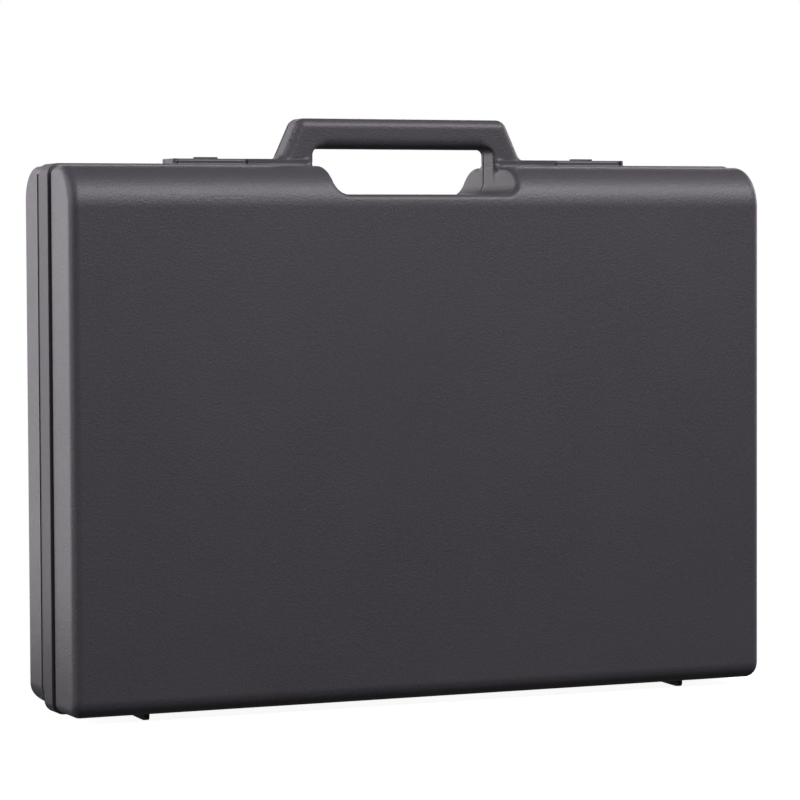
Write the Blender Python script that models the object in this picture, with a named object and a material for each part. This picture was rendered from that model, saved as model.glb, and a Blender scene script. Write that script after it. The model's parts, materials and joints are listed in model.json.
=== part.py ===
"""Moulded attache case: a deep front shell, a lid hinged along the bottom, two snap latches and foam pads.

Metres, +Z up, front towards -Y. The origin is the middle of the footprint, on the surface the feet stand on.
Run it with: blender --background --python part.py
"""

import math

import bmesh
import bpy
from mathutils import Matrix, Vector

GAP = 0.0003  # between neighbouring pieces
HAIR = 0.0001  # keeps the faces of joined shapes out of one plane
OVERLAP = 0.001  # how far joined shapes run into each other
SPARE = 0.002  # shells run this far past the parting line until they are cut flat
FAR = 0.5  # beyond the whole case

# Shells
HALF_WIDTH = 0.230
BOTTOM, TOP = 0.0045, 0.3305
FRONT, REAR = -0.0445, 0.0445
PARTING = 0.010
FRONT_TOP_RADIUS, REAR_TOP_RADIUS, PROFILE_STEPS = 0.0255, 0.020, 8
FRONT_BOTTOM_RADIUS, REAR_BOTTOM_RADIUS = 0.0105, 0.014
END_RADIUS, LID_END_RADIUS, SMALLEST_BEND, END_STEPS = 0.006, 0.0042, 0.0025, 4
WALL = 0.003

# Rim band and groove round the front shell
BAND_PROUD = 0.0013
BAND_FRONT = -0.0059
GROOVE_WIDTH, GROOVE_DEPTH = 0.0020, 0.0015

# Handle, in halves that are moulded with the shells
HANDLE_FRONT, HANDLE_REAR = -0.0052, 0.0175
GRIP_TOP, GRIP_BOTTOM = 0.3600, 0.3415
HANDLE_INNER = 0.061
LEG_OUTER_TOP, LEG_OUTER_BASE = 0.0691, 0.0807
INNER_CORNER, OUTER_CORNER, FOOT_CORNER = 0.004, 0.0055, 0.0035
HANDLE_EDGE, EDGE_STEPS = 0.0045, 4
HANDLE_WALL = 0.003
LEG_FOOT, BURIED_CORNER = 0.316, 0.0062
LEDGE_SUNK, LEDGE_LENGTH = 0.0004, 0.015

# Finger notch under the handle
NOTCH_FLOOR = 0.313
NOTCH_HALF, NOTCH_FLARE = 0.0615, 0.0020
NOTCH_CORNER = 0.008

# Latch rail and latches
RAIL_TOP, RAIL_START, RAIL_END, RAIL_REAR = 0.335, 0.065, 0.1522, 0.0135
RAIL_CORNER = 0.0008
RECESS_INNER, RECESS_OUTER = 0.1054, 0.1490
RECESS_FLOOR = 0.3316
FLAP_SIDE_GAP = 0.0005
FLAP_PIVOT_Y, FLAP_PIVOT_Z, FLAP_KNUCKLE = -0.0026, 0.3335, 0.0015
FLAP_THICK, FLAP_SHORT, FLAP_BEVEL = 0.0018, 0.0002, 0.0004
KNUCKLE_END, KNUCKLE_STEPS, KNUCKLE_TO_PLATE = 5.6, 8, 0.0022
CATCH_TOP = 0.3328
TAB_INNER, TAB_OUTER = 0.1200, 0.1348
TAB_FRONT, TAB_REAR, TAB_TOP, TAB_SUNK = 0.0041, 0.0066, 0.3361, 0.0008
LATCH_PIN_RADIUS, LATCH_PIN_CLEARANCE, LATCH_PIN_SEAT = 0.0008, 0.0001, 0.0016

# Hinges and feet under the parting line
HINGE_X, HINGE_HALF = 0.180, 0.015
HINGE_Z, KNUCKLE_RADIUS, KNUCKLE_ROOM = 0.0032, 0.0025, 0.0007
LID_KNUCKLE_HALF = 0.0070
HINGE_PIN_RADIUS, HINGE_PIN_CLEARANCE = 0.0011, 0.0001
PLATE_LOW, PLATE_HIGH = 0.0035, 0.0047
BASE_PLATE_FRONT, LID_PLATE_REAR = -0.0160, 0.0174
FIN_HALF, FIN_TIP, FIN_TIP_RADIUS = 0.0015, 0.0295, 0.0022
FIN_RISE, FIN_FLAT = 0.0007, 0.0080
BASE_FIN_ROOT, LID_FIN_ROOT = 0.0028, 0.0147

# Screws that hold the hinge leaves
SCREW_X = 0.0115
BASE_SCREW_Y, LID_SCREW_Y = -0.0118, 0.0153
SHANK_RADIUS, HEAD_RADIUS, HEAD_HEIGHT, SCREW_TOP = 0.0011, 0.0019, 0.0007, 0.0085
BOSS_RADIUS, BOSS_TOP = 0.0035, 0.0110

# Lip of the lid inside the front shell's rim
LIP_REACH, LIP_WALL, LIP_CLEARANCE = 0.0025, 0.0014, 0.0004
LIP_LOW, LIP_INNER = 0.020, 0.072

# Foam pads
PAD_THICK, PAD_CLEARANCE = 0.020, 0.0006

# Finishes: colour, roughness and metallic value
FINISHES = {
    "anthracite_plastic": ((0.055, 0.052, 0.058), 0.55, 0.0),
    "black_plastic": ((0.012, 0.012, 0.014), 0.45, 0.0),
    "zinc_plated_steel": ((0.62, 0.62, 0.60), 0.35, 1.0),
    "charcoal_foam": ((0.045, 0.045, 0.050), 0.95, 0.0),
}
SMOOTH_BELOW = math.radians(30)


# ---- outlines ----


def outline(corners, inset=0.0, steps=3):
    """A closed counter-clockwise outline with corners (a, b, radius), all drawn in by inset."""
    count = len(corners)
    points = [Vector(c[:2]) for c in corners]
    edges = [(points[(i + 1) % count] - points[i]).normalized() for i in range(count)]
    made = []
    for i, (_, _, radius) in enumerate(corners):
        before, after = edges[i - 1], edges[i]
        turn = math.atan2(before.cross(after), before.dot(after))
        shift = inset * math.tan(turn / 2)
        corner = points[i] + Vector((-before.y, before.x)) * inset - before * shift
        if radius == 0:
            made.append(corner)
            continue
        side = math.copysign(1, turn)
        bend = radius - side * inset
        start = corner - before * bend * math.tan(abs(turn) / 2)
        centre = start + Vector((-before.y, before.x)) * side * bend
        for step in range(steps + 1):
            swing = Matrix.Rotation(turn * step / steps, 2)
            made.append(centre + swing @ (start - centre))
    return [tuple(p) for p in made]


def circle(a, b, radius, sides=16):
    """Points of a regular polygon round (a, b), with a flat side down."""
    angles = [2 * math.pi * (i + 0.5) / sides - math.pi / 2 for i in range(sides)]
    return [(a + radius * math.cos(t), b + radius * math.sin(t)) for t in angles]


def box_outline(a0, b0, a1, b1, radius=0.0):
    return [(a0, b0, radius), (a1, b0, radius), (a1, b1, radius), (a0, b1, radius)]


def mirrored(half):
    """A counter-clockwise outline made of its +X half, from the bottom to the top, and its mirror."""
    return half + [(-x, z, r) for x, z, r in reversed(half)]


# ---- solids ----


def linked(name, mesh_data):
    bmesh.ops.remove_doubles(mesh_data, verts=mesh_data.verts, dist=1e-6)
    bmesh.ops.recalc_face_normals(mesh_data, faces=mesh_data.faces)
    mesh = bpy.data.meshes.new(name)
    mesh_data.to_mesh(mesh)
    mesh_data.free()
    made = bpy.data.objects.new(name, mesh)
    bpy.context.scene.collection.objects.link(made)
    return made


def loft(name, rings):
    """A closed solid through rings of equal point count, with flat ends."""
    body = bmesh.new()
    rows = [[body.verts.new(p) for p in ring] for ring in rings]
    for low, high in zip(rows, rows[1:]):
        for i in range(len(low)):
            body.faces.new((low[i - 1], low[i], high[i], high[i - 1]))
    body.faces.new(rows[0])
    body.faces.new(rows[-1])
    return linked(name, body)


def prism(name, points, axis, low, high):
    """The outline pushed along axis from low to high. Its coordinates are the other two axes, in order."""
    place = {
        "X": lambda p, t: (t, p[0], p[1]),
        "Y": lambda p, t: (p[0], t, p[1]),
        "Z": lambda p, t: (p[0], p[1], t),
    }[axis]
    return loft(name, [[place(p, t) for p in points] for t in (low, high)])


def combine(target, tools, operation):
    """Adds the tools to target or cuts them from it, and removes them."""
    for tool in tools if isinstance(tools, list) else [tools]:
        step = target.modifiers.new(tool.name, "BOOLEAN")
        step.operation = operation
        step.object = tool
        graph = bpy.context.evaluated_depsgraph_get()
        target.data = bpy.data.meshes.new_from_object(target.evaluated_get(graph))
        target.modifiers.clear()
        bpy.data.objects.remove(tool)
    return target


def join(target, tools):
    return combine(target, tools, "UNION")


def cut(target, tools):
    return combine(target, tools, "DIFFERENCE")


def tray(name, mouth, face, thinner=0.0):
    """One shell's solid outside, from its flat mouth to its face, or that shape with thinner taken off."""
    toward = math.copysign(1, face - mouth)
    top_radius, bottom_radius, end_radius = FRONT_TOP_RADIUS, FRONT_BOTTOM_RADIUS, END_RADIUS
    if toward > 0:
        top_radius, bottom_radius, end_radius = REAR_TOP_RADIUS, REAR_BOTTOM_RADIUS, LID_END_RADIUS
    end_radius = max(end_radius - thinner, SMALLEST_BEND)
    half = HALF_WIDTH - thinner
    rings = []
    for end in (-1, 1):
        for step in range(END_STEPS + 1):
            angle = math.pi / 2 * (step if end > 0 else END_STEPS - step) / END_STEPS
            inset = thinner + end_radius * (1 - math.cos(angle))
            back, low, high = face - toward * inset, BOTTOM + inset, TOP - inset
            bend_low, bend_high = bottom_radius - inset, top_radius - inset
            corners = [(mouth, low, 0), (back, low, bend_low), (back, high, bend_high), (mouth, high, 0)]
            if toward < 0:
                corners.reverse()
            x = end * (half - end_radius + end_radius * math.sin(angle))
            rings.append([(x, y, z) for y, z in outline(corners, steps=PROFILE_STEPS)])
    return loft(name, rings)


def notch_outline(grown=0.0):
    """Finger notch between the handle legs, seen from the front, with its walls grown outwards."""
    half = NOTCH_HALF + grown
    right = [(half, NOTCH_FLOOR - grown, NOTCH_CORNER), (half + NOTCH_FLARE, GRIP_BOTTOM, 0)]
    return outline(mirrored(right), steps=5)


def handle_outline(inset, ledge):
    """Grip and legs seen from the front, drawn in by inset. The legs flare out on to a ledge."""
    lean = (LEG_OUTER_BASE - LEG_OUTER_TOP) / (GRIP_TOP - RAIL_TOP)
    foot = LEG_OUTER_TOP + lean * (GRIP_TOP - ledge)
    ledge_end = foot + LEDGE_LENGTH
    right = [
        (ledge_end, LEG_FOOT, BURIED_CORNER),
        (ledge_end, ledge, BURIED_CORNER),
        (foot, ledge, FOOT_CORNER),
        (LEG_OUTER_TOP, GRIP_TOP, OUTER_CORNER),
    ]
    opening = [
        (-HANDLE_INNER, LEG_FOOT, BURIED_CORNER),
        (-HANDLE_INNER, GRIP_BOTTOM, INNER_CORNER),
        (HANDLE_INNER, GRIP_BOTTOM, INNER_CORNER),
        (HANDLE_INNER, LEG_FOOT, BURIED_CORNER),
    ]
    return outline(opening + mirrored(right), inset, steps=4)


def handle_half(name, mouth, face, ledge):
    """Half the handle, with a round edge on its outer face."""
    toward = math.copysign(1, face - mouth)
    stations = [(mouth, 0.0)]
    for step in range(EDGE_STEPS + 1):
        angle = math.pi / 2 * step / EDGE_STEPS
        depth = HANDLE_EDGE * (1 - math.sin(angle))
        stations.append((face - toward * depth, HANDLE_EDGE * (1 - math.cos(angle))))
    rings = [[(x, y, z) for x, z in handle_outline(inset, ledge)] for y, inset in stations]
    return loft(name, rings)


def handle_hollow(mouth, face):
    """The space inside half the handle, open at the parting line."""
    toward = math.copysign(1, face - mouth)
    floor = RAIL_TOP + OVERLAP
    opening = [
        (-HANDLE_INNER, floor, 0),
        (-HANDLE_INNER, GRIP_BOTTOM, 0),
        (HANDLE_INNER, GRIP_BOTTOM, 0),
        (HANDLE_INNER, floor, 0),
    ]
    right = [((LEG_OUTER_TOP + LEG_OUTER_BASE) / 2, floor, 0), (LEG_OUTER_TOP, GRIP_TOP, OUTER_CORNER)]
    points = outline(opening + mirrored(right), HANDLE_WALL)
    return prism("handle_hollow", points, "Y", mouth, face - toward * HANDLE_WALL)


def cavity(mouth, face):
    """Space inside one shell, kept clear of the notch by a wall."""
    space = tray("cavity", mouth, face, WALL)
    return cut(space, prism("island", notch_outline(WALL), "Y", -FAR, FAR))


def block(name, x0, x1, y0, y1, z0, z1):
    return prism(name, outline(box_outline(x0, y0, x1, y1)), "Z", z0, z1)


def slab(name, y0, y1):
    """Everything between two planes across the case, to cut a piece flat."""
    return block(name, -FAR, FAR, y0, y1, -FAR, FAR)


def both_sides(make, *args):
    """make(name, side, ...) for the left side and the right side."""
    return [make(f"{side}_tool", sign, *args) for side, sign in (("left", -1), ("right", 1))]


def side_block(name, sign, x_inner, x_outer, y0, y1, z0, z1):
    x0, x1 = sorted((sign * x_inner, sign * x_outer))
    return block(name, x0, x1, y0, y1, z0, z1)


def rail(name, sign, y_front, y_rear):
    """Raised rail beside a handle leg, with a small round on its end."""
    a0, a1 = sorted((sign * RAIL_START, sign * RAIL_END))
    bend0, bend1 = (0, RAIL_CORNER) if sign > 0 else (RAIL_CORNER, 0)
    low = TOP - WALL / 2
    corners = [(a0, low, 0), (a1, low, 0), (a1, RAIL_TOP, bend1), (a0, RAIL_TOP, bend0)]
    return prism(name, outline(corners, steps=2), "Y", y_front, y_rear)


def pin_hole(name, sign, radius):
    x0, x1 = sorted((sign * (RECESS_INNER - LATCH_PIN_SEAT), sign * (RECESS_OUTER + LATCH_PIN_SEAT)))
    points = circle(FLAP_PIVOT_Y, FLAP_PIVOT_Z, radius, 12)
    return prism(name, points, "X", x0, x1)


def hinge_relief(name, sign, plate_y):
    """Pocket for one leaf plate and room for the knuckles, under a shell."""
    half = HINGE_HALF + GAP
    room = KNUCKLE_RADIUS + KNUCKLE_ROOM
    x0, x1 = sign * HINGE_X - half, sign * HINGE_X + half
    far = plate_y + math.copysign(GAP, plate_y - PARTING)
    y0, y1 = sorted((far, PARTING + math.copysign(OVERLAP, PARTING - far)))
    pocket = block(name, x0, x1, y0, y1, -FAR, PLATE_HIGH + GAP)
    knuckles = block("knuckle_room", x0, x1, PARTING - room, PARTING + room, -FAR, HINGE_Z + room)
    return join(pocket, knuckles)


def screw_places(sign):
    return [("inner", sign * (HINGE_X - SCREW_X)), ("outer", sign * (HINGE_X + SCREW_X))]


def bosses(sign, y):
    return [
        prism("boss", circle(x, y, BOSS_RADIUS, 12), "Z", BOTTOM + OVERLAP, BOSS_TOP)
        for _, x in screw_places(sign)
    ]


def screw_holes(sign, y):
    radius = SHANK_RADIUS + GAP
    return [
        prism("screw_hole", circle(x, y, radius, 12), "Z", -FAR, SCREW_TOP + GAP)
        for _, x in screw_places(sign)
    ]


def hinge_seats(shell, plate_y, screw_y):
    for sign in (-1, 1):
        join(shell, bosses(sign, screw_y))
        cut(shell, hinge_relief("relief", sign, plate_y))
        cut(shell, screw_holes(sign, screw_y))
    return shell


# ---- the pieces ----


def base_shell():
    mouth = PARTING + SPARE
    shell = tray("base_shell", mouth, FRONT)
    half = HALF_WIDTH + BAND_PROUD
    edge = box_outline(-half, BOTTOM - BAND_PROUD, half, TOP + BAND_PROUD, END_RADIUS + BAND_PROUD)
    join(shell, prism("band", outline(edge, steps=5), "Y", BAND_FRONT, mouth - 3 * HAIR))
    inner = HALF_WIDTH - GROOVE_DEPTH
    core = box_outline(-inner, BOTTOM + GROOVE_DEPTH, inner, TOP - GROOVE_DEPTH, END_RADIUS - GROOVE_DEPTH)
    groove = slab("groove", BAND_FRONT - GROOVE_WIDTH, BAND_FRONT)
    cut(groove, prism("core", outline(core, steps=5), "Y", -FAR, FAR))
    cut(shell, groove)
    cut(shell, prism("notch", notch_outline(), "Y", -FAR, FAR))
    join(shell, both_sides(rail, HANDLE_FRONT, mouth - 6 * HAIR))
    join(shell, handle_half("handle", mouth - 9 * HAIR, HANDLE_FRONT, RAIL_TOP - LEDGE_SUNK))
    cut(shell, cavity(mouth + HAIR, FRONT))
    cut(shell, handle_hollow(mouth, HANDLE_FRONT))
    cut(shell, both_sides(side_block, RECESS_INNER, RECESS_OUTER, -FAR, FAR, RECESS_FLOOR, FAR))
    cut(shell, both_sides(pin_hole, LATCH_PIN_RADIUS + LATCH_PIN_CLEARANCE))
    hinge_seats(shell, BASE_PLATE_FRONT, BASE_SCREW_Y)
    return cut(shell, slab("mouth", PARTING - GAP / 2, FAR))


def lid_lip(sign):
    """Thin lip along one end and part of the top, standing inside the front shell's rim."""
    outer = HALF_WIDTH - WALL - LIP_CLEARANCE
    top = TOP - WALL - LIP_CLEARANCE
    mouth = PARTING + GAP / 2

    def angle_piece(name, grow, y0, y1):
        bend = END_RADIUS - WALL
        corners = [
            (outer - LIP_WALL, LIP_LOW, 0),
            (outer + grow, LIP_LOW, 0),
            (outer + grow, top + grow, bend + grow),
            (LIP_INNER, top + grow, 0),
            (LIP_INNER, top - LIP_WALL, 0),
            (outer - LIP_WALL, top - LIP_WALL, bend - LIP_WALL),
        ]
        points = [(sign * x, z) for x, z in outline(corners)]
        return prism(name, points, "Y", y0, y1)

    root = angle_piece("lip_root", LIP_CLEARANCE + OVERLAP, mouth, mouth + LIP_REACH)
    return [root, angle_piece("lip", 0.0, mouth - LIP_REACH, mouth + LIP_REACH - HAIR)]


def lid_shell():
    mouth = PARTING - SPARE
    shell = tray("lid_shell", mouth, REAR)
    cut(shell, prism("notch", notch_outline(), "Y", -FAR, FAR))
    join(shell, both_sides(rail, mouth + 6 * HAIR, RAIL_REAR))
    join(shell, handle_half("handle", mouth + 9 * HAIR, HANDLE_REAR, TOP - LEDGE_SUNK))
    cut(shell, cavity(mouth - HAIR, REAR))
    cut(shell, handle_hollow(mouth, HANDLE_REAR))
    cut(shell, both_sides(side_block, RECESS_INNER, RECESS_OUTER, -FAR, FAR, CATCH_TOP, FAR))
    hinge_seats(shell, LID_PLATE_REAR, LID_SCREW_Y)
    cut(shell, slab("mouth", -FAR, PARTING + GAP / 2))
    for sign in (-1, 1):
        join(shell, lid_lip(sign))
    return shell


def foam_pad(name, mouth, face):
    """Foam pad against the inside of one shell's face, cut round the notch."""
    grown = WALL + PAD_CLEARANCE
    pad = tray(name, PARTING, face, grown)
    y0, y1 = sorted((mouth, -math.copysign(FAR, face)))
    cut(pad, slab("beyond_pad", y0, y1))
    return cut(pad, prism("island", notch_outline(grown), "Y", -FAR, FAR))


def fin_outline(toward, root_y):
    """Foot fin seen from the side, under a shell's flat bottom. Its tip is its lowest point."""
    top = BOTTOM - GAP
    tip, flat_end = toward * FIN_TIP, toward * (FIN_TIP - FIN_FLAT)
    upper = [(root_y, top, 0), (tip, top, 0)]
    lower = [(tip, 0.0, FIN_TIP_RADIUS), (flat_end, 0.0, 0), (root_y, FIN_RISE, 0)]
    corners = upper + lower
    if toward > 0:
        corners.reverse()
    return outline(corners, steps=4)


def leaf(name, sign, toward):
    """Hinge leaf with its knuckles and its foot fin, under the front shell (toward -1) or the lid (1)."""
    x0, x1 = sign * HINGE_X - HINGE_HALF, sign * HINGE_X + HINGE_HALF
    k0, k1 = sign * HINGE_X - LID_KNUCKLE_HALF, sign * HINGE_X + LID_KNUCKLE_HALF
    clear = KNUCKLE_RADIUS + KNUCKLE_ROOM
    if toward < 0:
        piece = block(name, x0, x1, BASE_PLATE_FRONT, PARTING - clear, PLATE_LOW, PLATE_HIGH)
        spans = [(x0, k0 - GAP), (k1 + GAP, x1)]
        root_y, screw_y = BASE_FIN_ROOT, BASE_SCREW_Y
    else:
        piece = block(name, x0, x1, PARTING + clear, LID_PLATE_REAR, PLATE_LOW, PLATE_HIGH)
        spans = [(k0, k1)]
        root_y, screw_y = LID_FIN_ROOT, LID_SCREW_Y
    for a, b in spans:
        y0, y1 = sorted((PARTING, PARTING + toward * (clear + OVERLAP)))
        join(piece, block("arm", a, b, y0, y1, PLATE_LOW + HAIR, PLATE_HIGH - HAIR))
        join(piece, prism("knuckle", circle(PARTING, HINGE_Z, KNUCKLE_RADIUS), "X", a, b))
    centre = sign * HINGE_X
    join(piece, prism("fin", fin_outline(toward, root_y), "X", centre - FIN_HALF, centre + FIN_HALF))
    bore = circle(PARTING, HINGE_Z, HINGE_PIN_RADIUS + HINGE_PIN_CLEARANCE, 12)
    cut(piece, prism("bore", bore, "X", x0 - OVERLAP, x1 + OVERLAP))
    return cut(piece, screw_holes(sign, screw_y))


def screw(name, x, y):
    head = prism(name, circle(x, y, HEAD_RADIUS, 12), "Z", PLATE_LOW - GAP - HEAD_HEIGHT, PLATE_LOW - GAP)
    low = PLATE_LOW - GAP - HEAD_HEIGHT / 2
    return join(head, prism("shank", circle(x, y, SHANK_RADIUS, 12), "Z", low, SCREW_TOP))


def flap_outline():
    """Latch flap seen from the side: a knuckle at the front and a flat plate over the lid's catch."""
    plate_low = RAIL_TOP - FLAP_THICK
    rear = RAIL_REAR - FLAP_SHORT
    turns = [math.pi / 2 + (KNUCKLE_END - math.pi / 2) * i / KNUCKLE_STEPS for i in range(KNUCKLE_STEPS + 1)]
    knuckle = [
        (FLAP_PIVOT_Y + FLAP_KNUCKLE * math.cos(t), FLAP_PIVOT_Z + FLAP_KNUCKLE * math.sin(t))
        for t in turns
    ]
    under = [(FLAP_PIVOT_Y + KNUCKLE_TO_PLATE, plate_low), (rear, plate_low)]
    return knuckle + under + [(rear, RAIL_TOP - FLAP_BEVEL), (rear - FLAP_BEVEL, RAIL_TOP)]


def latch_flap(name, sign):
    x0, x1 = sorted((sign * (RECESS_INNER + FLAP_SIDE_GAP), sign * (RECESS_OUTER - FLAP_SIDE_GAP)))
    flap = prism(name, flap_outline(), "X", x0, x1)
    t0, t1 = sorted((sign * TAB_INNER, sign * TAB_OUTER))
    join(flap, block("tab", t0, t1, TAB_FRONT, TAB_REAR, RAIL_TOP - TAB_SUNK, TAB_TOP))
    return cut(flap, pin_hole("bore", sign, LATCH_PIN_RADIUS + LATCH_PIN_CLEARANCE))


def latch_pin(name, sign):
    inner, outer = RECESS_INNER - LATCH_PIN_SEAT + GAP, RECESS_OUTER + LATCH_PIN_SEAT - GAP
    x0, x1 = sorted((sign * inner, sign * outer))
    return prism(name, circle(FLAP_PIVOT_Y, FLAP_PIVOT_Z, LATCH_PIN_RADIUS, 12), "X", x0, x1)


def hinge_pin(name, sign):
    x0, x1 = sign * HINGE_X - HINGE_HALF, sign * HINGE_X + HINGE_HALF
    return prism(name, circle(PARTING, HINGE_Z, HINGE_PIN_RADIUS, 12), "X", x0, x1)


# ---- finish and assembly ----


def material(name):
    colour, roughness, metallic = FINISHES[name]
    made = bpy.data.materials.new(name)
    made.use_nodes = True
    shader = made.node_tree.nodes["Principled BSDF"]
    shader.inputs["Base Color"].default_value = (*colour, 1.0)
    shader.inputs["Roughness"].default_value = roughness
    shader.inputs["Metallic"].default_value = metallic
    return made


def pivot(name, location):
    made = bpy.data.objects.new(name, None)
    made.location = location
    bpy.context.scene.collection.objects.link(made)
    return made


def fasten(piece, finish, parent=None):
    """Gives a piece its material, smooth shading between sharp edges, and its parent."""
    piece.data.materials.clear()
    piece.data.materials.append(finish)
    piece.data.shade_smooth()
    piece.data.set_sharp_from_angle(angle=SMOOTH_BELOW)
    if parent is not None:
        piece.parent = parent
        piece.matrix_parent_inverse = Matrix.Translation(parent.location).inverted()
    return piece


def main():
    for leftover in list(bpy.data.objects):
        bpy.data.objects.remove(leftover)
    anthracite, black, steel, foam = [material(name) for name in FINISHES]

    lid_pivot = pivot("lid_hinge_axis", (0, PARTING, HINGE_Z))
    fasten(base_shell(), anthracite)
    fasten(lid_shell(), anthracite, lid_pivot)
    fasten(foam_pad("base_foam", FRONT + WALL + PAD_THICK, FRONT), foam)
    fasten(foam_pad("lid_foam", REAR - WALL - PAD_THICK, REAR), foam, lid_pivot)
    for side, sign in (("left", -1), ("right", 1)):
        fasten(leaf(f"hinge_leaf_base_{side}", sign, -1), black)
        fasten(leaf(f"hinge_leaf_lid_{side}", sign, 1), black, lid_pivot)
        fasten(hinge_pin(f"hinge_pin_{side}", sign), steel)
        for place, x in screw_places(sign):
            fasten(screw(f"screw_base_{side}_{place}", x, BASE_SCREW_Y), steel)
            fasten(screw(f"screw_lid_{side}_{place}", x, LID_SCREW_Y), steel, lid_pivot)
        middle = sign * (RECESS_INNER + RECESS_OUTER) / 2
        latch_pivot = pivot(f"latch_axis_{side}", (middle, FLAP_PIVOT_Y, FLAP_PIVOT_Z))
        fasten(latch_flap(f"latch_flap_{side}", sign), anthracite, latch_pivot)
        fasten(latch_pin(f"latch_pin_{side}", sign), steel)


main()
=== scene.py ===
"""Looks of the moulded attache case, in a plain white studio."""

import json
import math

import bpy
import numpy as np
from mathutils import Matrix, Vector

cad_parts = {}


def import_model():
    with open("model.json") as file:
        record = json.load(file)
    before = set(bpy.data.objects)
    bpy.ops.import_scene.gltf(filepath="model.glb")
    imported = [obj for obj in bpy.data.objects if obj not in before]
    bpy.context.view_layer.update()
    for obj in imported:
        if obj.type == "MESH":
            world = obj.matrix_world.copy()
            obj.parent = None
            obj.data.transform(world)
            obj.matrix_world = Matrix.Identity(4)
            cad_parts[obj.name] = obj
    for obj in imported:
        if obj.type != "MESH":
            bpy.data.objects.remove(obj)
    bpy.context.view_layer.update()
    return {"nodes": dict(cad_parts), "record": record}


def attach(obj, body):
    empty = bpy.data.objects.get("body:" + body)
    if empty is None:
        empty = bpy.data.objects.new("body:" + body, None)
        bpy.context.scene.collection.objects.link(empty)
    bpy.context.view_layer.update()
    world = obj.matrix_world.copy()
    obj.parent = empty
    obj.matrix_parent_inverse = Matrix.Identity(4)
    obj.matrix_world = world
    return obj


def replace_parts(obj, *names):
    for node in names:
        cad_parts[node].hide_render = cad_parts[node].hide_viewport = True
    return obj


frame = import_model()

# Shells, in millimetres
HALF_WIDTH, BOTTOM, TOP, FACE = 230.0, 4.5, 330.5, 44.5
PARTING, HALF_GAP, MOUTH_EDGE = 10.0, 0.15, 0.45
HANDLE_HALF_GAP, SLIT_REACH, SLIT_LOW, SLIT_FADE = 0.45, 85.0, 316.0, 2.0
FRONT_ROUNDS = (25.5, 10.5, 6.0)  # top, bottom and ends
REAR_ROUNDS = (20.0, 14.0, 4.2)
WALL, CAVITY_EDGE, SMALLEST_BEND = 3.0, 0.5, 1.0
LID_CORNER, RIM_LINE, RIM_SUNK, RIM_HIGH, RIM_PROUD = 14.0, 18.6, 0.5, 325.5, 0.3
BAND_PROUD, BAND_FRONT, BAND_CORNER, BAND_EDGE, BAND_LEAN = 1.3, -5.9, 7.3, 0.3, 0.42
GROOVE_WIDTH, GROOVE_DEPTH, GROOVE_EDGE = 2.0, 1.5, 0.7
HANDLE_FRONT, HANDLE_REAR, GRIP_TOP, GRIP_BOTTOM = -5.2, 17.5, 360.0, 341.5
HANDLE_INNER, INNER_CORNER, FOOT_LEAN = 61.0, 4.0, 0.12
GRIP_EDGE, FOOT_EDGE, EDGE_FADE = 6.8, 1.5, 9.0
FRONT_OUTER_EDGE, REAR_OUTER_EDGE, REAR_INNER_EDGE = 6.0, 7.2, 6.0
LEG_TOP, LEG_BASE, OUTER_CORNER, FOOT_CORNER = 69.5, 81.1, 4.2, 3.5
HANDLE_WALL, LEG_FOOT, LEDGE_SUNK, LEDGE_LENGTH = 3.0, 312.0, 0.4, 15.0
FILLET_THIN, FILLET_WIDE, FILLET_END, FILLET_FADE = 0.3, 2.5, 68.0, 4.0
NOTCH_FLOOR, NOTCH_HALF, NOTCH_FLARE, NOTCH_CORNER, NOTCH_RIM = 313.0, 60.3, 2.5, 8.0, 3.0
RAIL_TOP, RAIL_START, RAIL_END, RAIL_REAR = 335.0, 65.0, 152.2, 13.5
RAIL_CORNER, RAIL_EDGE, RAIL_FILLET, RAIL_ROOT, RAIL_PAST = 0.8, 0.4, 0.5, 2.0, 30.0
HOLE_LEAN_FROM, HOLLOW_FROM = RAIL_TOP - 1, RAIL_TOP + 1
RECESS_INNER, RECESS_OUTER, RECESS_FLOOR, RECESS_EDGE, CATCH_TOP = 105.4, 149.0, 331.6, 0.3, 332.8
RECESS_MIDDLE, RECESS_HALF = (RECESS_INNER + RECESS_OUTER) / 2, (RECESS_OUTER - RECESS_INNER) / 2
SILL_REAR, SILL_TOP = -4.35, 332.9
SLOT_END, SLOT_END_REAR, SLOT_END_FLOOR, SLOT_END_EDGE = 1.8, -3.6, RECESS_FLOOR + 0.3, 0.15
HINGE_X, HINGE_HALF, HINGE_Z, KNUCKLE_ROOM, PLATE_HIGH = 180.0, 15.0, 3.2, 3.2, 4.7
BASE_PLATE_FRONT, LID_PLATE_REAR, LEAF_GAP = -16.0, 17.4, 0.3
SCREW_X, BASE_SCREW_Y, LID_SCREW_Y = 11.5, -11.8, 15.3
BOSS_RADIUS, BOSS_TOP, BOSS_ROOT = 3.5, 11.0, BOTTOM + 1
LIP_REACH, LIP_WALL, LIP_GAP, LIP_LOW, LIP_INNER, LIP_CORNER = 2.5, 1.4, 0.4, 20.0, 72.0, 2.6

# Meshing: halvings that find a crossing, step for normals and tolerance of mark_band in millimetres,
# and the smallest spread of the normals, as a share of the largest, that makes an edge or corner
HALVINGS, NORMAL_STEP, NEAR, FLAT_SHARE = 14, 0.01, 0.1, 0.08

# Foam pads and screws, in millimetres
PAD_INSET, PAD_FACE, PAD_EDGE, PAD_SUNK, PAD_SWELL = 3.6, 21.5, 3.0, 0.35, 0.2
CRATE_DEPTH, CRATE_PITCH, CRATE_MIDDLE = 9.0, 30.0, 165.0
HEAD_RADIUS, HEAD_LOW, HEAD_HIGH, HEAD_EDGE = 1.9, 2.5, 3.2, 0.5
SHANK_RADIUS, SHANK_LOW, SHANK_TOP = 1.1, 2.8, 8.5
CROSS_WIDTH, CROSS_REACH, CROSS_DEPTH, CROSS_EDGE = 0.45, 1.1, 0.45, 0.05

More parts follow.
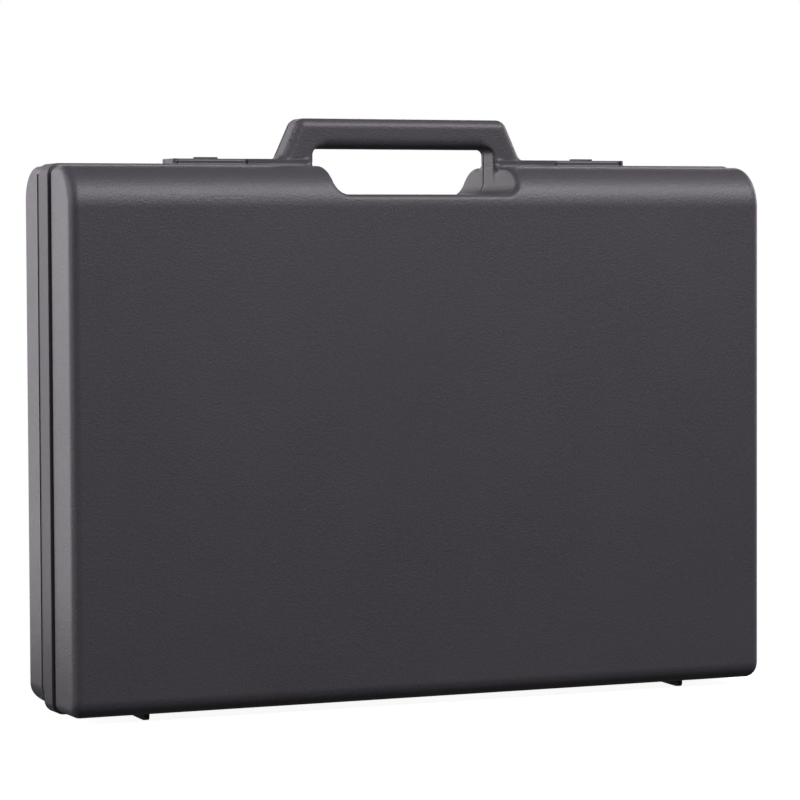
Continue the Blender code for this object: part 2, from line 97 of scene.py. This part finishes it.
# Round edges of the CAD pieces that are kept, in metres, and angles in degrees
PIN_EDGE, LEAF_EDGE = 0.00025, 0.0003
SHARP_ANGLE, BEVEL_ANGLE = 32.0, 35.0

# Camera fitted to the photo's straight edges: place in metres, lens and sensor in millimetres
CAMERA_PLACE = (-0.8632, -1.9548, 0.2855)
CAMERA_YAW, CAMERA_PITCH, CAMERA_ROLL = math.radians(23.79), math.radians(2.67), math.radians(-0.26)
LENS, SENSOR = 154.7, 36.0

# Studio: name, place, aim, size and power of each softbox, and the white table, in metres and watts
LIT_POINT = (0, 0, 0.2)
LIGHTS = (
    ("rear_left", (-1.3, 2.1, 0.8), LIT_POINT, (1.6, 1.6), 24.5),
    ("floor_left", (-0.95, 1.45, 0.004), (-0.95, 1.45, 1), (1.5, 2.2), 17.0),
    ("left_side", (-2.4, 0.3, 1.1), LIT_POINT, (1.6, 2.0), 35.0),
    ("front_high", (0.55, -1.25, 1.55), LIT_POINT, (1.8, 0.7), 41.0),
    ("far_back", (1.2, 2.9, 0.95), LIT_POINT, (2.6, 1.3), 32.0),
    ("right_side", (2.4, 0.6, 0.9), LIT_POINT, (1.4, 1.6), 22.0),
)
LIGHT_TINT = (0.99, 0.945, 1.0)
AMBIENT, FLOOR_GLOW, FLOOR_SIZE, FLOOR_REAR = 0.074, 0.93, 60.0, 0.0132


# ---- materials ----


def node(tree, kind, inputs=(), **settings):
    """A new shader node with its settings and its input values or links."""
    made = tree.nodes.new(kind)
    for key, value in settings.items():
        setattr(made, key, value)
    for name, value in dict(inputs).items():
        if isinstance(value, bpy.types.NodeSocket):
            tree.links.new(value, made.inputs[name])
        else:
            made.inputs[name].default_value = value
    return made


def ramp(tree, value, low, high, start=0.0, stop=1.0):
    """Remaps value from start..stop to low..high."""
    numbers = {"Value": value, "From Min": start, "From Max": stop, "To Min": low, "To Max": high}
    return node(tree, "ShaderNodeMapRange", numbers).outputs[0]


def blend(tree, share, first, second):
    """Colour between first and second."""
    made = node(tree, "ShaderNodeMix", data_type="RGBA")
    for socket, value in ((made.inputs[0], share), (made.inputs[6], first), (made.inputs[7], second)):
        if isinstance(value, bpy.types.NodeSocket):
            tree.links.new(value, socket)
        else:
            socket.default_value = value
    return made.outputs[2]


def new_material(name):
    made = bpy.data.materials.new(name)
    made.use_nodes = True
    tree = made.node_tree
    return made, tree, tree.nodes["Principled BSDF"]


def moulded_plastic(name, colour, roughness, grain=0.00012, speckle=0.24, specular=0.5):
    """Moulded plastic with a fine spark-eroded grain, slight mottling and paler edges."""
    made, tree, shader = new_material(name)
    place = node(tree, "ShaderNodeTexCoord").outputs["Object"]
    grains = {"Vector": place, "Scale": 1150.0, "Detail": 3.0, "Roughness": 0.7}
    fine = node(tree, "ShaderNodeTexNoise", grains)
    cells = node(tree, "ShaderNodeTexVoronoi", {"Vector": place, "Scale": 900.0}, feature="SMOOTH_F1")
    broad = node(tree, "ShaderNodeTexNoise", {"Vector": place, "Scale": 14.0, "Detail": 5.0})
    dark = (*(c * (1 - speckle) for c in colour), 1)
    pale = (*(min(1, c * (1 + speckle)) for c in colour), 1)
    speckled = blend(tree, ramp(tree, fine.outputs[0], 0.0, 1.0, 0.35, 0.65), dark, pale)
    cloudy = (*(c * 1.10 for c in colour), 1)
    mottled = blend(tree, ramp(tree, broad.outputs[0], 0.0, 0.40, 0.35, 0.7), speckled, cloudy)
    edge = node(tree, "ShaderNodeNewGeometry").outputs["Pointiness"]
    rubbed = ramp(tree, edge, 0.0, 0.5, 0.53, 0.62)
    edge_colour = (*(min(1, c * 1.35) for c in colour), 1)
    tree.links.new(blend(tree, rubbed, mottled, edge_colour), shader.inputs["Base Color"])
    uneven = ramp(tree, broad.outputs[0], roughness - 0.03, roughness + 0.05)
    tree.links.new(uneven, shader.inputs["Roughness"])
    shader.inputs["Specular IOR Level"].default_value = specular
    height = node(tree, "ShaderNodeMath", {0: fine.outputs[0], 1: cells.outputs[0]}, operation="ADD")
    bump = node(tree, "ShaderNodeBump", {"Strength": 1.0, "Distance": grain, "Height": height.outputs[0]})
    tree.links.new(bump.outputs[0], shader.inputs["Normal"])
    return made


def zinc_steel(name):
    made, tree, shader = new_material(name)
    place = node(tree, "ShaderNodeTexCoord").outputs["Object"]
    cloud = node(tree, "ShaderNodeTexNoise", {"Vector": place, "Scale": 300.0, "Detail": 4.0})
    tint = blend(tree, cloud.outputs[0], (0.50, 0.50, 0.48, 1), (0.70, 0.70, 0.69, 1))
    tree.links.new(tint, shader.inputs["Base Color"])
    shader.inputs["Metallic"].default_value = 1.0
    tree.links.new(ramp(tree, cloud.outputs[0], 0.25, 0.45), shader.inputs["Roughness"])
    return made


def open_cell_foam(name):
    made, tree, shader = new_material(name)
    place = node(tree, "ShaderNodeTexCoord").outputs["Object"]
    pores = node(tree, "ShaderNodeTexVoronoi", {"Vector": place, "Scale": 1100.0})
    cloud = node(tree, "ShaderNodeTexNoise", {"Vector": place, "Scale": 40.0, "Detail": 4.0})
    # Darker towards the pit of each pore, where the bump sinks: painted shade in the pores, over the foam's
    # own charcoal tone.
    depth = ramp(tree, pores.outputs[0], 0.0, 1.0, 0.1, 0.6)
    tint = blend(tree, depth, (0.020, 0.020, 0.023, 1), (0.075, 0.075, 0.082, 1))
    tint = blend(tree, ramp(tree, cloud.outputs[0], 0.0, 0.4), tint, (0.045, 0.045, 0.050, 1))
    tree.links.new(tint, shader.inputs["Base Color"])
    shader.inputs["Roughness"].default_value = 0.95
    shader.inputs["Sheen Weight"].default_value = 0.25
    bump = node(tree, "ShaderNodeBump", {"Strength": 1.0, "Distance": 0.0004, "Height": pores.outputs[0]})
    tree.links.new(bump.outputs[0], shader.inputs["Normal"])
    return made


# ---- shells: distance functions in millimetres, meshed on an uneven grid ----


def outer_round(first, second, radius):
    """Both shapes at once, with a round edge where they meet."""
    corner = np.hypot(np.maximum(first + radius, 0), np.maximum(second + radius, 0))
    return np.minimum(np.maximum(first, second), -radius) + corner


def inner_round(first, second, radius):
    """Either shape, with a fillet where they meet."""
    return -outer_round(-first, -second, radius)


def less(shape, tool, radius=0.0):
    """The shape without the tool, with a round rim."""
    return outer_round(shape, -tool, radius)


def between(value, low, high):
    return np.maximum(low - value, value - high)


def lines(*stretches):
    """Grid lines from (start, step) pairs, the last one with the end in place of a step."""
    made = []
    for (start, step), (stop, _) in zip(stretches, stretches[1:]):
        count = max(1, round((stop - start) / step))
        made += [start + (stop - start) * i / count for i in range(count)]
    return np.array(made + [stretches[-1][0]])


def both_ways(made):
    return np.concatenate([-made[::-1], made])


def surface_points(field, grid, inside, axis):
    """Where the surface crosses the grid's lines along one axis, with the cell indices there."""
    low, high = [slice(None)] * 3, [slice(None)] * 3
    low[axis], high[axis] = slice(0, -1), slice(1, None)
    starts = inside[tuple(low)]
    index = np.argwhere(starts != inside[tuple(high)])
    outward = starts[tuple(index.T)]
    place = np.stack([grid[k][index[:, k]] for k in range(3)], 1)
    near, far = place[:, axis].copy(), grid[axis][index[:, axis] + 1]
    for _ in range(HALVINGS):
        place[:, axis] = (near + far) / 2
        same = (field(*place.T) < 0) == outward
        near = np.where(same, place[:, axis], near)
        far = np.where(same, far, place[:, axis])
    return index, place, outward


def slopes(field, place):
    """Unit normals of the field."""
    made = np.empty_like(place)
    for k in range(3):
        ahead, behind = place.copy(), place.copy()
        ahead[:, k] += NORMAL_STEP
        behind[:, k] -= NORMAL_STEP
        made[:, k] = field(*ahead.T) - field(*behind.T)
    return made / np.linalg.norm(made, axis=1, keepdims=True).clip(1e-12)


def contour(name, field, grid):
    """The closed surface where field is zero, with one vertex in each crossed cell, set on sharp edges."""
    cells = [len(line) - 1 for line in grid]
    across, along, upright = grid
    inside = field(across[:, None, None], along[None, :, None], upright[None, None, :]) < 0
    corners, owners, facing, marks = [], [], [], []
    for axis in range(3):
        index, place, outward = surface_points(field, grid, inside, axis)
        side, up = (axis + 1) % 3, (axis + 2) % 3
        ring = []
        for step_side, step_up in ((-1, -1), (0, -1), (0, 0), (-1, 0)):
            cell = index.copy()
            cell[:, side] += step_side
            cell[:, up] += step_up
            ring.append(np.ravel_multi_index(cell.T, cells))
        ring = np.stack(ring, 1)
        corners.append(np.where(outward[:, None], ring, ring[:, ::-1]))
        owners.append(ring)
        facing.append(slopes(field, place))
        marks.append(place)
    used, spot = np.unique(np.concatenate(corners), return_inverse=True)
    spot = spot.reshape(-1, 4)
    normal, place = np.concatenate(facing), np.concatenate(marks)
    owner = np.unique(np.concatenate(owners), return_inverse=True)[1].reshape(-1, 4)

    def gathered(value):
        return np.bincount(owner.ravel(), np.repeat(value, 4), len(used))

    count = gathered(np.ones(len(place)))
    middle = np.stack([gathered(place[:, k]) / count for k in range(3)], 1)
    pull = np.empty((len(used), 3, 3))
    for a in range(3):
        for b in range(3):
            pull[:, a, b] = gathered(normal[:, a] * normal[:, b])
    height = (normal * place).sum(1)
    goal = np.stack([gathered(normal[:, k] * height) for k in range(3)], 1)
    goal -= (pull @ middle[:, :, None])[:, :, 0]
    size, turn = np.linalg.eigh(pull)
    keep = size > FLAT_SHARE * size[:, 2:]
    share = np.where(keep, 1 / np.where(keep, size, 1), 0)
    shift = (turn.transpose(0, 2, 1) @ goal[:, :, None])[:, :, 0] * share
    spots = middle + (turn @ shift[:, :, None])[:, :, 0]
    cell = np.stack(np.unravel_index(used, cells), 1)
    for k in range(3):
        spots[:, k] = spots[:, k].clip(grid[k][cell[:, k]], grid[k][cell[:, k] + 1])

    mesh = bpy.data.meshes.new(name)
    mesh.from_pydata((spots / 1000).tolist(), [], spot.tolist())
    mesh.update()
    made = bpy.data.objects.new(name, mesh)
    bpy.context.scene.collection.objects.link(made)
    return made


def tray(x, y, z, toward, rounds, thinner=0.0):
    """Solid of one shell without its mouth: round along the top and bottom, and round at the ends."""
    top_radius, bottom_radius, end_radius = rounds
    depth = toward * y - FACE + thinner
    profile = outer_round(depth, z - TOP + thinner, top_radius - thinner)
    profile = outer_round(profile, BOTTOM + thinner - z, bottom_radius - thinner)
    return outer_round(profile, np.abs(x) - HALF_WIDTH + thinner, max(end_radius - thinner, SMALLEST_BEND))


def notch(x, z, grown=0.0):
    """Finger notch seen from the front."""
    flare = (NOTCH_FLARE / (GRIP_BOTTOM - NOTCH_FLOOR)) * (z - NOTCH_FLOOR)
    wall = np.abs(x) - NOTCH_HALF - flare - grown
    return outer_round(wall, NOTCH_FLOOR - grown - z, NOTCH_CORNER + grown)


def handle_legs(x, z):
    """Handle's outside seen from the front: a flat top with round corners and legs that lean outwards."""
    lean = (LEG_BASE - LEG_TOP) / (GRIP_TOP - RAIL_TOP)
    side = (np.abs(x) - LEG_TOP - lean * (GRIP_TOP - z)) / math.hypot(1, lean)
    return outer_round(side, z - GRIP_TOP, OUTER_CORNER)


def handle_hole(x, z):
    """Hand hole seen from the front. Its sides lean out below the rails, where the legs end in the notch."""
    side = np.abs(x) - HANDLE_INNER - FOOT_LEAN * (HOLE_LEAN_FROM - z).clip(0, None)
    return outer_round(side, z - GRIP_BOTTOM, INNER_CORNER)


def inner_edge(x):
    """Radius of the front half's edge round the hand hole: wide along the grip, narrow at the legs."""
    share = ((HANDLE_INNER - np.abs(x)) / EDGE_FADE).clip(0, 1)
    return FOOT_EDGE + (GRIP_EDGE - FOOT_EDGE) * share


def mouth(x, y, z, toward):
    """Distance past the plane where one shell stops: the slit is wider along the handle and its legs."""
    share = np.minimum((SLIT_REACH - np.abs(x)).clip(0, 1), ((z - SLIT_LOW) / SLIT_FADE).clip(0, 1))
    return toward * (PARTING - y) + HALF_GAP + (HANDLE_HALF_GAP - HALF_GAP) * share


def handle(x, y, z, toward, face, ledge, outer_edge, hole_edge):
    """Half the handle, with round edges."""
    foot = np.maximum(z - ledge, np.abs(x) - LEG_BASE - LEDGE_LENGTH)
    side = inner_round(handle_legs(x, z), foot, FOOT_CORNER)
    depth = toward * y - face
    solid = outer_round(side, depth, outer_edge)
    solid = less(solid, handle_hole(x, z), hole_edge)
    return np.maximum(solid, LEG_FOOT - z)


def handle_hollow(x, y, z, toward, face):
    """Room inside half the handle."""
    side = np.maximum(handle_legs(x, z) + HANDLE_WALL, HANDLE_WALL - handle_hole(x, z))
    return np.maximum(np.maximum(side, toward * y - face + HANDLE_WALL), HOLLOW_FROM - z)


def cavity(x, y, z, toward, rounds):
    """Room inside one shell, past the wall round the notch."""
    space = tray(x, y, z, toward, rounds, WALL)
    return less(space, notch(x, z, WALL), CAVITY_EDGE)


def rails(x, y, z, front, rear):
    """Raised latch rails beside the handle."""
    ends = between(np.abs(x), RAIL_START, RAIL_END)
    top = outer_round(ends, z - RAIL_TOP, RAIL_CORNER)
    return outer_round(np.maximum(top, TOP - RAIL_ROOT - z), between(y, front, rear), RAIL_EDGE)


def under_pockets(x, y, z, far):
    """Room for the hinge leaves and knuckles."""
    across = np.abs(np.abs(x) - HINGE_X) - HINGE_HALF - LEAF_GAP
    plate = np.maximum(between(y, *sorted((far, PARTING))), z - PLATE_HIGH - LEAF_GAP)
    knuckles = np.maximum(np.abs(y - PARTING) - KNUCKLE_ROOM, z - HINGE_Z - KNUCKLE_ROOM)
    return np.maximum(across, np.minimum(plate, knuckles))


def bosses(x, y, z, row):
    """Screw bosses on the bottom of one shell, in one row."""
    across = np.abs(np.abs(np.abs(x) - HINGE_X) - SCREW_X)
    return np.maximum(np.hypot(across, y - row) - BOSS_RADIUS, between(z, BOSS_ROOT, BOSS_TOP))


def front_shell(x, y, z):
    """Deep shell with a groove, a proud band, rails, latch slots and half the handle."""
    body = tray(x, y, z, -1, FRONT_ROUNDS)
    bend = FRONT_ROUNDS[2] - SMALLEST_BEND
    core = outer_round(np.abs(x) - HALF_WIDTH + GROOVE_DEPTH, z - TOP + GROOVE_DEPTH, bend)
    core = outer_round(core, BOTTOM + GROOVE_DEPTH - z, bend)
    groove = np.maximum(between(y, BAND_FRONT - GROOVE_WIDTH, 0), -core)
    body = less(body, groove, GROOVE_EDGE)
    across = outer_round(np.abs(x) - HALF_WIDTH - BAND_PROUD, z - TOP - BAND_PROUD, BAND_CORNER)
    across = outer_round(across, BOTTOM - BAND_PROUD - z, BAND_CORNER)
    front = BAND_FRONT + BAND_LEAN * (across + BAND_PROUD).clip(0, None)
    band = outer_round(across, front - y, BAND_EDGE)
    body = np.minimum(body, band)
    body = less(body, notch(x, z), NOTCH_RIM)
    body = inner_round(body, rails(x, y, z, HANDLE_FRONT, RAIL_PAST), RAIL_FILLET)
    grip = handle(x, y, z, -1, -HANDLE_FRONT, RAIL_TOP - LEDGE_SUNK, FRONT_OUTER_EDGE, inner_edge(x))
    body = inner_round(body, grip, leg_fillet(x))
    body = outer_round(body, mouth(x, y, z, -1), MOUTH_EDGE)
    body = np.maximum(body, -cavity(x, y, z, -1, FRONT_ROUNDS))
    body = np.maximum(body, -handle_hollow(x, y, z, -1, -HANDLE_FRONT))
    floor = np.minimum(np.maximum(RECESS_FLOOR - z, SILL_REAR - y), SILL_TOP - z)
    body = less(body, np.maximum(between(np.abs(x), RECESS_INNER, RECESS_OUTER), floor), RECESS_EDGE)
    slot_ends = between(np.abs(np.abs(x) - RECESS_MIDDLE), RECESS_HALF, RECESS_HALF + SLOT_END)
    slot_ends = np.maximum(slot_ends, np.maximum(SLOT_END_FLOOR - z, y - SLOT_END_REAR))
    body = less(body, slot_ends, SLOT_END_EDGE)
    body = np.minimum(body, bosses(x, y, z, BASE_SCREW_Y))
    return np.maximum(body, -under_pockets(x, y, z, BASE_PLATE_FRONT - LEAF_GAP))


def leg_fillet(x):
    """Wide where a leg runs down the notch wall, so that it fades out there, and narrow at its outside."""
    share = ((FILLET_END - np.abs(x)) / FILLET_FADE).clip(0, 1)
    return FILLET_THIN + (FILLET_WIDE - FILLET_THIN) * share


def lips(x, y, z):
    """Thin lip of the lid along its ends and top, inside the front shell's rim."""
    outer, high = HALF_WIDTH - WALL - LIP_GAP, TOP - WALL - LIP_GAP
    edge = outer_round(np.abs(x) - outer, z - high, LIP_CORNER)
    ring = np.maximum(edge, -edge - LIP_WALL)
    kept = np.maximum(LIP_LOW - z, -np.maximum(np.abs(x) - LIP_INNER, LIP_LOW - z))
    return np.maximum(np.maximum(ring, kept), between(y, PARTING + HALF_GAP - LIP_REACH, PARTING + LIP_REACH))


def rear_shell(x, y, z):
    """The lid, with a sunk rim at its ends, a proud one on top, rails, lips and half the handle."""
    body = tray(x, y, z, 1, REAR_ROUNDS)
    body = np.maximum(body, outer_round(np.abs(x) - HALF_WIDTH, BOTTOM - z, LID_CORNER))
    strip = np.minimum(RIM_LINE - y, RIM_HIGH - z)
    body = np.maximum(body, np.minimum(body + RIM_SUNK, strip))
    top_rim = outer_round(np.abs(x) - HALF_WIDTH - RIM_PROUD, z - TOP - BAND_PROUD, BAND_CORNER)
    top_rim = outer_round(np.maximum(top_rim, RIM_HIGH - z), y - RIM_LINE, BAND_EDGE)
    body = np.minimum(body, top_rim)
    body = less(body, notch(x, z), NOTCH_RIM)
    body = inner_round(body, rails(x, y, z, -RAIL_PAST, RAIL_REAR), RAIL_FILLET)
    grip = handle(x, y, z, 1, HANDLE_REAR, TOP - LEDGE_SUNK, REAR_OUTER_EDGE, REAR_INNER_EDGE)
    body = inner_round(body, grip, leg_fillet(x))
    body = outer_round(body, mouth(x, y, z, 1), MOUTH_EDGE)
    body = np.maximum(body, -cavity(x, y, z, 1, REAR_ROUNDS))
    body = np.maximum(body, -handle_hollow(x, y, z, 1, HANDLE_REAR))
    recess = np.maximum(between(np.abs(x), RECESS_INNER, RECESS_OUTER), CATCH_TOP - z)
    body = less(body, recess, RECESS_EDGE)
    body = np.minimum(body, bosses(x, y, z, LID_SCREW_Y))
    body = np.minimum(body, lips(x, y, z))
    return np.maximum(body, -under_pockets(x, y, z, LID_PLATE_REAR + LEAF_GAP))


def pad(x, y, z, toward, rounds, face):
    """Foam pad on the inside of one shell's face, cut round the notch."""
    body = tray(x, y, z, toward, rounds, PAD_INSET)
    body = outer_round(body, face - toward * y, PAD_EDGE)
    return less(body, notch(x, z, PAD_INSET), PAD_EDGE)


def flat_pad(x, y, z):
    """Cut foam with a slightly uneven face."""
    waves = np.sin(x / 23.0 + 1.0) * np.sin(z / 31.0) + 0.6 * np.sin(x / 61.0 - z / 47.0)
    return pad(x, y, z, -1, FRONT_ROUNDS, PAD_FACE + PAD_SUNK + PAD_SWELL * waves)


def crate_pad(x, y, z):
    """Egg-crate foam."""
    turn = 2 * math.pi / CRATE_PITCH
    waves = np.cos(turn * x) * np.cos(turn * (z - CRATE_MIDDLE))
    face = PAD_FACE + CRATE_DEPTH * (0.5 - 0.5 * waves)
    return pad(x, y, z, 1, REAR_ROUNDS, face)


def screw_at(place, row):
    """Pan head with a cross recess, facing down, on a plain shank."""

    def field(x, y, z):
        across = np.hypot(x - place, y - row)
        head = outer_round(across - HEAD_RADIUS, HEAD_LOW - z, HEAD_EDGE)
        head = np.maximum(head, z - HEAD_HIGH)
        shank = np.maximum(across - SHANK_RADIUS, between(z, SHANK_LOW, SHANK_TOP))
        wide, tall = np.abs(x - place), np.abs(y - row)
        cross = np.minimum(np.maximum(wide - CROSS_REACH, tall - CROSS_WIDTH / 2),
                           np.maximum(wide - CROSS_WIDTH / 2, tall - CROSS_REACH))
        return less(np.minimum(head, shank), np.maximum(cross, z - HEAD_LOW - CROSS_DEPTH), CROSS_EDGE)

    return field


# Grid lines are close together only where edges, rails, slots and pockets need them.


def across_lines():
    middle = ((0.37, 13.0), (49.0, 1.3), (65.6, 1.9), (84.2, 7.0))
    latch = ((104.3, 0.7), (106.6, 10.0), (147.7, 0.8), (150.2, 0.6), (153.3, 5.0))
    hinge = ((163.3, 1.1), (165.6, 2.0), (194.2, 1.1), (196.5, 8.0))
    end = ((220.3, 1.0), (225.2, 0.75), (232.7, 0))
    return both_ways(lines(*middle, *latch, *hinge, *end))


def upright_lines(low):
    """From the pockets, up to a height of low in small steps, to the top of the handle."""
    bottom = ((1.9, 0.45), (5.5, 1.2), (low, 14.0))
    notch_walls = ((298.3, 1.7), (306.7, 1.1), (317.4, 1.6), (329.2, 0.4))
    grip = ((336.1, 1.2), (340.9, 0.8), (344.5, 2.3), (352.9, 1.0), (360.9, 0))
    return lines(*bottom, *notch_walls, *grip)


def front_grid():
    outside = ((-45.63, 1.15), (-39.9, 2.3), (-17.3, 1.8))
    rim = ((-9.3, 0.36), (-4.1, 0.9), (-0.5, 1.8), (6.53, 0.9), (8.9, 0.3), (10.7, 0))
    return across_lines(), lines(*outside, *rim), upright_lines(16.1)


def rear_grid():
    rim = ((6.61, 0.9), (9.3, 0.3), (10.9, 0.9), (13.3, 0.4), (16.9, 0.8))
    outside = ((18.6, 2.1), (37.7, 1.05), (45.71, 0))
    return across_lines(), lines(*rim, *outside), upright_lines(19.3)


def pad_grid(toward):
    right = lines((0.41, 3.7), (214.7, 1.5), (228.7, 0))
    depth = lines((20.3, 1.6), (32.7, 3.0), (38.3, 1.3), (42.3, 0))
    upright = lines((6.1, 1.5), (19.3, 3.7), (296.3, 1.7), (328.9, 0))
    depth = depth if toward > 0 else -depth[::-1]
    return both_ways(right), depth, upright


def screw_grid(place, row):
    wide = both_ways(lines((0.03, 0.16), (1.27, 0.2), (2.1, 0)))
    return place + wide, row + wide, lines((2.37, 0.11), (3.37, 1.4), (8.9, 0))


# ---- pieces ----


def finished(piece, body, finishes):
    """Smooth shading between sharp edges, a finish and a body to ride on."""
    piece.data.materials.clear()
    for finish in finishes:
        piece.data.materials.append(finish)
    piece.data.shade_smooth()
    piece.data.set_sharp_from_angle(angle=math.radians(SHARP_ANGLE))
    even = piece.modifiers.new("even_normals", "WEIGHTED_NORMAL")
    even.keep_sharp = True
    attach(piece, body)
    return piece


def mark_band(piece):
    """Gives the front shell's band and the lid's sunk rim the second, smoother finish."""
    spots = np.empty(len(piece.data.polygons) * 3)
    piece.data.polygons.foreach_get("center", spots)
    x, y, z = spots.reshape(-1, 3).T * 1000
    proud = tray(x, y, z, -1, FRONT_ROUNDS) > 0.3 * BAND_PROUD
    band = proud & (z < TOP + BAND_PROUD + NEAR) & (y > BAND_FRONT - NEAR) & (y < PARTING)
    sunk = np.abs(tray(x, y, z, 1, REAR_ROUNDS) + RIM_SUNK) < NEAR
    rim = sunk & (y > PARTING) & (y < RIM_LINE + NEAR / 2) & (z < RIM_HIGH)
    piece.data.polygons.foreach_set("material_index", (band | rim).astype(np.int32))


def shells(plastic, band_plastic):
    front = contour("moulded_front_shell", front_shell, front_grid())
    finished(front, "base", [plastic, band_plastic])
    mark_band(front)
    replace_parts(front, "base_shell")
    rear = contour("moulded_rear_shell", rear_shell, rear_grid())
    finished(rear, "lid", [plastic, band_plastic])
    mark_band(rear)
    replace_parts(rear, "lid_shell")


def pads(foam):
    for name, field, toward, body, node_name in (
        ("cut_foam", flat_pad, -1, "base", "base_foam"),
        ("egg_crate_foam", crate_pad, 1, "lid", "lid_foam"),
    ):
        piece = finished(contour(name, field, pad_grid(toward)), body, [foam])
        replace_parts(piece, node_name)


def screws(steel):
    for sign, side in ((-1, "left"), (1, "right")):
        for away, end in ((-SCREW_X, "inner"), (SCREW_X, "outer")):
            for row, body in ((BASE_SCREW_Y, "base"), (LID_SCREW_Y, "lid")):
                name = f"{body}_{side}_{end}"
                place = sign * (HINGE_X + away)
                made = contour(f"cross_screw_{name}", screw_at(place, row), screw_grid(place, row))
                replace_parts(finished(made, body, [steel]), f"screw_{name}")


def softened(piece, width):
    """Small round edges on a CAD piece that is kept."""
    edge = piece.modifiers.new("round_edges", "BEVEL")
    edge.width, edge.segments = width, 2
    edge.limit_method, edge.angle_limit = "ANGLE", math.radians(BEVEL_ANGLE)
    edge.harden_normals = True


# ---- studio ----


def camera():
    yaw, pitch, roll = CAMERA_YAW, CAMERA_PITCH, CAMERA_ROLL
    forward = Vector((math.sin(yaw) * math.cos(pitch), math.cos(yaw) * math.cos(pitch), -math.sin(pitch)))
    level = Vector((math.cos(yaw), -math.sin(yaw), 0))
    upright = level.cross(forward)
    right = level * math.cos(roll) + upright * math.sin(roll)
    up = upright * math.cos(roll) - level * math.sin(roll)
    data = bpy.data.cameras.new("camera")
    data.lens, data.sensor_width = LENS, SENSOR
    data.clip_start, data.clip_end = 0.01, 100
    made = bpy.data.objects.new("camera", data)
    turned = Matrix((right, up, -forward)).transposed()
    made.matrix_world = Matrix.Translation(CAMERA_PLACE) @ turned.to_4x4()
    bpy.context.scene.collection.objects.link(made)
    bpy.context.scene.camera = made


def softbox(name, place, aim, size, power):
    data = bpy.data.lights.new(name, "AREA")
    data.shape = "RECTANGLE"
    data.size, data.size_y = size
    data.energy = power
    data.color = LIGHT_TINT
    made = bpy.data.objects.new(name, data)
    made.location = place
    made.rotation_euler = (Vector(aim) - Vector(place)).to_track_quat("-Z", "Y").to_euler()
    made.visible_camera = False
    bpy.context.scene.collection.objects.link(made)


def floor():
    """White table that ends at the hinge line, so that the open lid can be seen below it."""
    bpy.ops.mesh.primitive_grid_add(size=FLOOR_SIZE, location=(0, FLOOR_REAR - FLOOR_SIZE / 2, 0))
    made = bpy.context.object
    made.name = "floor"
    paper, tree, shader = new_material("white_paper")
    place = node(tree, "ShaderNodeTexCoord").outputs["Object"]
    cloud = node(tree, "ShaderNodeTexNoise", {"Vector": place, "Scale": 3.0})
    white = blend(tree, cloud.outputs[0], (0.86, 0.86, 0.86, 1), (0.90, 0.90, 0.90, 1))
    tree.links.new(white, shader.inputs["Base Color"])
    shader.inputs["Roughness"].default_value = 0.9
    shader.inputs["Specular IOR Level"].default_value = 0.0
    shader.inputs["Emission Color"].default_value = (1, 1, 1, 1)
    shader.inputs["Emission Strength"].default_value = FLOOR_GLOW
    made.data.materials.append(paper)
    made.visible_diffuse = False
    made.visible_glossy = False


def world():
    made = bpy.data.worlds.new("studio")
    bpy.context.scene.world = made
    made.use_nodes = True
    tree = made.node_tree
    back = tree.nodes["Background"]
    seen = node(tree, "ShaderNodeLightPath").outputs["Is Camera Ray"]
    tree.links.new(blend(tree, seen, (AMBIENT, AMBIENT, AMBIENT, 1), (1, 1, 1, 1)), back.inputs["Color"])
    bpy.context.scene.view_settings.view_transform = "Standard"


def studio():
    camera()
    floor()
    world()
    for setting in LIGHTS:
        softbox(*setting)


def main():
    shell = moulded_plastic("anthracite_plastic", (0.0610, 0.0570, 0.0655), 0.46)
    band = moulded_plastic("smooth_anthracite_plastic", (0.046, 0.043, 0.049), 0.50, 0.00005, 0.08, 0.38)
    black = moulded_plastic("black_plastic", (0.010, 0.010, 0.012), 0.42, grain=0.00004)
    steel = zinc_steel("zinc_plated_steel")
    foam = open_cell_foam("charcoal_foam")
    shells(shell, band)
    pads(foam)
    screws(steel)
    finishes = {"shell_plastic": shell, "black_plastic": black, "steel": steel, "foam": foam}
    for part in frame["record"]["subparts"]:
        piece = frame["nodes"][part["node"]]
        piece.data.materials.clear()
        piece.data.materials.append(finishes[part["material_slot"]])
        if not piece.hide_render:
            softened(piece, PIN_EDGE if "pin" in part["node"] else LEAF_EDGE)
    studio()


main()
